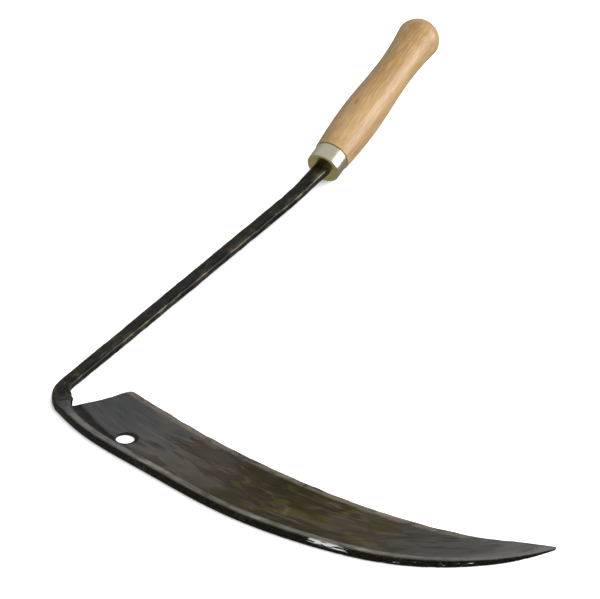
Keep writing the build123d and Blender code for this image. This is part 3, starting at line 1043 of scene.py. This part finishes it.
# painted light: the bar's side that faces +X, towards the window, is made lighter in patches
painted_side_light = iron.step(iron.part(iron_place, 1), 0.34, 0.47) * patchy
skin = iron.mix(iron.step(iron_cloud, 0.35, 0.65), (0.012, 0.013, 0.012), (0.022, 0.018, 0.009))
iron_colour = iron.layered(skin, (
    (iron.step(iron_patch, 0.52, 0.66) * 0.75, (0.066, 0.046, 0.018)),
    (iron.step(iron_patch, 0.40, 0.28) * 0.6, (0.006, 0.006, 0.006)),
    (iron.step(iron_grain, 0.62, 0.80) * 0.35, (0.10, 0.095, 0.080)),
    (worn * 0.5, (0.16, 0.152, 0.135)),
    # painted light on the side towards the window
    (painted_side_light * 0.60, (0.115, 0.105, 0.076)),
))
shank.data.materials.append(iron.finish(
    {
        "Base Color": iron_colour,
        "Normal": iron.bump(iron_patch + iron_grain * 0.06, 0.5, 0.00015),
        "Roughness": 0.36 + (iron_patch - 0.5) * 0.3 - worn * 0.08,
        "Metallic": 0.95 - iron.step(iron_patch, 0.56, 0.72) * 0.25,
    },
    {"Coat Weight": 0.08, "Coat Roughness": 0.28, "Coat IOR": 1.45, "IOR": 1.6},
))

# %% [markdown]
# ## A lathe in Geometry Nodes
# The ferrule and the handle are turned: a profile goes once round an axis. Geometry Nodes can do
# what a lathe does. The tree makes a grid, reads for each of its rows one point of the profile,
# and turns that point about the axis by the angle of its column. Merging what falls together
# closes the seam and the poles. A trace of noise keeps the wood from being perfectly round. The
# bench and the wires that make materials make this tree as well.

# %% Lathe tree
LATHE_INPUTS = (
    ("Profile", "NodeSocketGeometry"), ("Profile Points", "NodeSocketInt"), ("Columns", "NodeSocketInt"),
    ("Unevenness", "NodeSocketFloat"), ("Seed", "NodeSocketFloat"), ("Finish", "NodeSocketMaterial"),
)
UNEVEN_SCALE = 28.0
MERGE_GAP = 0.000005
lathe = bpy.data.node_groups.new("lathe", "GeometryNodeTree")
lathe.is_modifier = True
for label, kind in LATHE_INPUTS:
    lathe.interface.new_socket(label, in_out="INPUT", socket_type=kind)
lathe.interface.new_socket("Turned", in_out="OUTPUT", socket_type="NodeSocketGeometry")
turning = Bench(lathe)
lathe_given = lathe.nodes.new("NodeGroupInput").outputs
given = {label: Wire(turning, lathe_given[label]) for label, _ in LATHE_INPUTS}
position = turning.node("GeometryNodeInputPosition")
grid = turning.node("GeometryNodeMeshGrid", sockets={
    "Size X": 1.0, "Size Y": 1.0,
    "Vertices X": given["Columns"] + 1.0, "Vertices Y": given["Profile Points"],
})
row_place = (turning.part(position, 1) + 0.5) * (given["Profile Points"] - 1.0)
row = turning.node("ShaderNodeMath", {"operation": "ROUND"}, {0: row_place})
profile_point = turning.node(
    "GeometryNodeSampleIndex", {"data_type": "FLOAT_VECTOR", "domain": "POINT"},
    {"Geometry": given["Profile"], "Value": position, "Index": row},
)
angle = (turning.part(position, 0) + 0.5) * (2 * math.pi)
turned = turning.node(
    "ShaderNodeVectorRotate", {"rotation_type": "Z_AXIS"}, {"Vector": profile_point, "Angle": angle},
)
unevenness = turning.node(
    "ShaderNodeTexNoise", {"noise_dimensions": "4D"},
    {"Vector": turned, "W": given["Seed"], "Scale": UNEVEN_SCALE, "Detail": 1.0},
)
swing = (unevenness - 0.5) * given["Unevenness"] + 1.0
squeeze = turning.node("ShaderNodeCombineXYZ", sockets={"X": swing, "Y": swing, "Z": 1.0})
shape = grid
for kind, sockets in (
    ("GeometryNodeSetPosition", {"Position": turning.scaled(turned, squeeze)}),
    ("GeometryNodeMergeByDistance", {"Distance": MERGE_GAP}),
    ("GeometryNodeSetShadeSmooth", {}),
    ("GeometryNodeRealizeInstances", {}),
    ("GeometryNodeSetMaterial", {"Material": given["Finish"]}),
):
    shape = turning.node(kind, sockets={"Geometry": shape, **sockets})
turning.end("NodeGroupOutput", shape)

# %% Turning and filing
HOLE_TOLERANCE = 0.01  # a point this near to the round hole's radius, in mm, belongs to it
TINY = 1e-9
handle_right = to_right(HANDLE_HEADING)
handle_up = np.cross(handle_right, handle_axis)


def turn_piece(name, profile, columns, unevenness, seed, finish, reshape):
    """Turns a profile, pairs of radius and distance from the ferrule's face, on the handle's axis."""
    line = bpy.data.meshes.new(name + "_profile")
    line.from_pydata([(r * MM, 0.0, z * MM) for r, z in profile], [], [])
    piece = new_object(name, line)
    modifier = piece.modifiers.new("lathe", "NODES")
    modifier.node_group = lathe
    settings = {
        "Profile Points": len(profile), "Columns": columns,
        "Unevenness": unevenness, "Seed": seed, "Finish": finish,
    }
    for item in lathe.interface.items_tree:
        if item.name in settings:
            modifier[item.identifier] = settings[item.name]
    bpy.context.view_layer.update()
    evaluated = piece.evaluated_get(bpy.context.evaluated_depsgraph_get())
    mesh = bpy.data.meshes.new_from_object(evaluated)
    piece.modifiers.clear()
    piece.data = mesh
    mesh.name = name
    bpy.data.meshes.remove(line)
    points = reshape(np.array([v.co for v in mesh.vertices]))
    carry(mesh, "turned", points * 100)
    axes = np.array([handle_right, handle_up, handle_axis])
    laid = points @ axes + placed(face_centre)
    mesh.vertices.foreach_set("co", laid.astype(np.float32).ravel())
    mesh.update()
    if enclosed(mesh) < 0:
        mesh.flip_normals()
    mesh.set_sharp_from_angle(angle=CREASE)
    print(name, "points:", len(mesh.vertices), "volume, cm3:", round(enclosed(mesh), 2))
    return piece


def squared_hole(points, radius, half_width, half_height):
    """Moves the points of a round hole straight out to a rectangle. Sizes are in millimetres."""
    reach = np.hypot(points[:, 0], points[:, 1])
    is_hole = np.abs(reach - radius * MM) < HOLE_TOLERANCE * MM
    reach = np.maximum(reach, TINY)
    cosine = np.maximum(np.abs(points[:, 0]) / reach, 1e-6)
    sine = np.maximum(np.abs(points[:, 1]) / reach, 1e-6)
    wanted = np.minimum(half_width / cosine, half_height / sine) * MM
    share = np.where(is_hole, wanted / reach, 1.0)
    return points * np.column_stack([share, share, np.ones(len(points))])


# %% [markdown]
# ## Ferrule
# The ferrule is a short cup pressed from thin sheet: a tube with a rounded front rim and a flat
# face with a slot for the tang. It stops the wood from splitting. It is plated, bright on the tube
# and yellower on the face, where the plating was not polished.

# %% Ferrule finish
FACE_END = (0.12, 0.05)  # centimetres behind the face over which the face's colour ends
plating = Bench(bpy.data.materials.new("bright_plating"))
plate_place = plating.attribute("turned", "Vector")
face_mask = plating.step(plating.part(plate_place, 2), *FACE_END)
plate_cloud = plating.noise(plate_place, (2.0, 2.0, 2.0), detail=4.0)
plate_lines = plating.noise(plate_place, (2.0, 2.0, 55.0), detail=3.0, roughness=0.6)
tube_colour = plating.mix(plate_cloud, (0.68, 0.645, 0.475), (0.80, 0.77, 0.61))
face_colour = plating.mix(plate_cloud, (0.72, 0.61, 0.20), (0.88, 0.78, 0.36))
ferrule_finish = plating.finish(
    {
        "Base Color": plating.mix(face_mask, tube_colour, face_colour),
        "Normal": plating.bump(plate_lines, 0.3, 0.000002),
        "Roughness": 0.17 + plate_lines * 0.10 + plate_cloud * 0.06 + face_mask * 0.06,
    },
    {"Metallic": 1.0},
)

# %% Ferrule
FERRULE_LENGTH = 13.5
FERRULE_WALL = 1.0
FERRULE_FACE = 1.4
SLOT_HALF = (4.4, 2.8)
ROUND_SLOT = 3.0  # radius of the lathe's hole, before it is filed to the slot
MOUTH_ROUND = 0.3
FACE_ROWS = 12
TUBE_ROWS = 16


def arc_points(middle, radius, first, last, count):
    """Points on an arc in the profile: angles in degrees, from outwards towards the butt."""
    angles = np.radians(np.linspace(first, last, count))
    return [(middle[0] + radius * math.cos(a), middle[1] + radius * math.sin(a)) for a in angles]


def ferrule_profile():
    """From the slot over the face, the rim and the tube, and back inside the cup."""
    inner = FERRULE_RADIUS - FERRULE_WALL
    rim = FERRULE_RADIUS - FERRULE_RIM
    mouth_middle = (FERRULE_RADIUS - MOUTH_ROUND, FERRULE_LENGTH - MOUTH_ROUND)
    face = [(r, 0.0) for r in np.linspace(ROUND_SLOT, rim, FACE_ROWS, endpoint=False)]
    rim_arc = arc_points((rim, FERRULE_RIM), FERRULE_RIM, -90, 0, 12)
    tube = [(FERRULE_RADIUS, z) for z in np.linspace(FERRULE_RIM, mouth_middle[1], TUBE_ROWS)[1:]]
    mouth = arc_points(mouth_middle, MOUTH_ROUND, 0, 90, 5)[1:]
    inside = [(inner, FERRULE_LENGTH), (inner, FERRULE_FACE + 0.02), (ROUND_SLOT, FERRULE_FACE)]
    return face + rim_arc + tube + mouth + inside + face[:1]


ferrule = turn_piece(
    "ferrule_cup", ferrule_profile(), columns=128, unevenness=0.0, seed=1.0, finish=ferrule_finish,
    reshape=lambda points: squared_hole(points, ROUND_SLOT, *SLOT_HALF),
)

# %% [markdown]
# ## Handle
# The handle is turned from a pale, close-grained wood such as beech or ash: a shoulder that stands
# just proud of the ferrule, a swelling for the palm, a waist for the fingers and a flared round
# butt that stops the hand. The wood finish is cut from a solid pattern, as real grain is: long
# growth lines along the axis, short darker flecks, and a satin lacquer over them as a clear coat.

# %% Wood finish
FLECK_PLACE = (-0.11, 1.45, 5.5)  # a small reddish fleck, in centimetres from the ferrule's face
FLECK_SHAPE = (5.5, 4.0, 2.6)
wood = Bench(bpy.data.materials.new("lacquered_wood"))
wood_place = wood.attribute("turned", "Vector")
ring_noise = wood.noise(wood_place, (0.9, 1.8, 0.10), detail=3.0, distortion=0.3)
wood_lines = wood.node("ShaderNodeMath", {"operation": "SINE"}, {0: ring_noise * 70.0})
fibres = wood.noise(wood_place, (9.0, 9.0, 0.55), detail=5.0, roughness=0.65)
pores = wood.noise(wood_place, (17.0, 17.0, 1.2), detail=3.0, roughness=0.6)
tone = wood.noise(wood_place, (0.5, 0.5, 0.14), detail=2.0)
from_fleck = wood.node("ShaderNodeVectorMath", {"operation": "SUBTRACT"}, {0: wood_place, 1: FLECK_PLACE})
fleck_reach = wood.node(
    "ShaderNodeVectorMath", {"operation": "LENGTH"}, {0: wood.scaled(from_fleck, FLECK_SHAPE)}, output=1,
)
fleck = wood.step(fleck_reach + (pores - 0.5) * 0.8, 1.1, 0.3)
bare_wood = wood.mix(wood.step(tone, 0.35, 0.65), (0.245, 0.141, 0.042), (0.322, 0.200, 0.075))
wood_colour = wood.layered(bare_wood, (
    ((wood_lines * 0.5 + 0.5) * 0.42, (0.200, 0.104, 0.036)),
    (wood.step(fibres, 0.44, 0.66) * 0.50, (0.430, 0.290, 0.132)),
    (wood.step(pores, 0.50, 0.70) * 0.42, (0.165, 0.082, 0.024)),
    (fleck * 0.6, (0.150, 0.045, 0.018)),
))
handle_finish = wood.finish(
    {
        "Base Color": wood_colour,
        "Normal": wood.bump(fibres * 0.6 - pores * 0.15, 0.3, 0.00004),
        "Roughness": 0.46 + (fibres - 0.5) * 0.15,
    },
    {"Coat Weight": 0.8, "Coat Roughness": 0.36, "Coat IOR": 1.5, "IOR": 1.45},
)

# %% Handle
HANDLE_LENGTH = 151.0
SHOULDER = (12.95, 13.5)  # radius, and distance from the ferrule's face
SWELL = (14.65, 52.0)
WAIST = (12.75, 102.5)
BUTT = (15.40, 137.7)
FLARE_LIMIT = 1.04
DOME_START = 134.0
DOME_POWER = 2.1
SHOULDER_ROUND = 0.35
ROUND_BORE = 0.2  # radius of the lathe's bore, before it is squared to the tang
BORE_CLEARANCE = 0.1
CUP_GAP = 0.04  # between the spigot or the shoulder and the ferrule
BORE_ROWS = 12
GRIP_ROWS = 170
DOME_ROWS = 36


def handle_radius(z):
    """Radius of the wood at a distance from the ferrule's face."""
    up = 1 - np.clip((z - SHOULDER[1]) / (SWELL[1] - SHOULDER[1]), 0, 1)
    down = soft_step(z, SWELL[1], WAIST[1])
    flare = np.clip((z - WAIST[1]) / (BUTT[1] - WAIST[1]), 0, FLARE_LIMIT)
    body = SWELL[0] - (SWELL[0] - SHOULDER[0]) * up ** 2 - (SWELL[0] - WAIST[0]) * down
    body = body + (BUTT[0] - WAIST[0]) * flare ** 2
    dome = np.clip((z - DOME_START) / (HANDLE_LENGTH - DOME_START), 0, 1)
    return body * (1 - dome ** DOME_POWER) ** (1 / DOME_POWER)


def handle_profile():
    """From the end of the bore to the spigot, the shoulder, over the grip and round the butt."""
    spigot = FERRULE_RADIUS - FERRULE_WALL - 0.02
    spigot_start = FERRULE_FACE + CUP_GAP
    shoulder_start = SHOULDER[1] + CUP_GAP
    bore_end = TANG_LENGTH + 0.3
    bore = [(0.0, bore_end)]
    bore += [(ROUND_BORE, z) for z in np.linspace(bore_end, spigot_start, BORE_ROWS)]
    neck = [(spigot, spigot_start), (spigot, shoulder_start)]
    shoulder_middle = (SHOULDER[0] - SHOULDER_ROUND, shoulder_start + SHOULDER_ROUND)
    shoulder_arc = arc_points(shoulder_middle, SHOULDER_ROUND, -90, -5, 5)
    dome_turns = np.linspace(0, math.pi / 2, DOME_ROWS)[1:-1]
    grip_places = np.linspace(SHOULDER[1] + 0.6, DOME_START, GRIP_ROWS)
    dome_places = DOME_START + (HANDLE_LENGTH - DOME_START) * np.sin(dome_turns)
    body = [(float(handle_radius(z)), z) for z in (*grip_places, *dome_places)]
    return bore + neck + shoulder_arc + body + [(0.0, HANDLE_LENGTH)]


def square_bore(points):
    """Gives the bore the tapering rectangle of the tang, with a little room round it."""
    share = np.clip(points[:, 2] / (TANG_LENGTH * MM), 0, 1)
    halves = [
        (first + (last - first) * share) / 2 + BORE_CLEARANCE
        for first, last in zip(TANG_SIZES, TANG_END_SIZES)
    ]
    return squared_hole(points, ROUND_BORE, *halves)


handle = turn_piece(
    "handle_turned", handle_profile(), columns=144, unevenness=0.006, seed=3.0, finish=handle_finish,
    reshape=square_bore,
)

# %% [markdown]
# ## Onto the frame
# Nothing on this tool moves, so every piece rides on the one body. Each piece stands for one part
# of the frame, and that part is hidden.

# %% Ride and replace
for piece, node in ((blade, "blade"), (shank, "shank_bar"), (ferrule, "ferrule"), (handle, "handle")):
    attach(piece, "root")
    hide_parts(node)
    print(piece.name, "stands for", node, "with", len(piece.data.polygons), "faces")
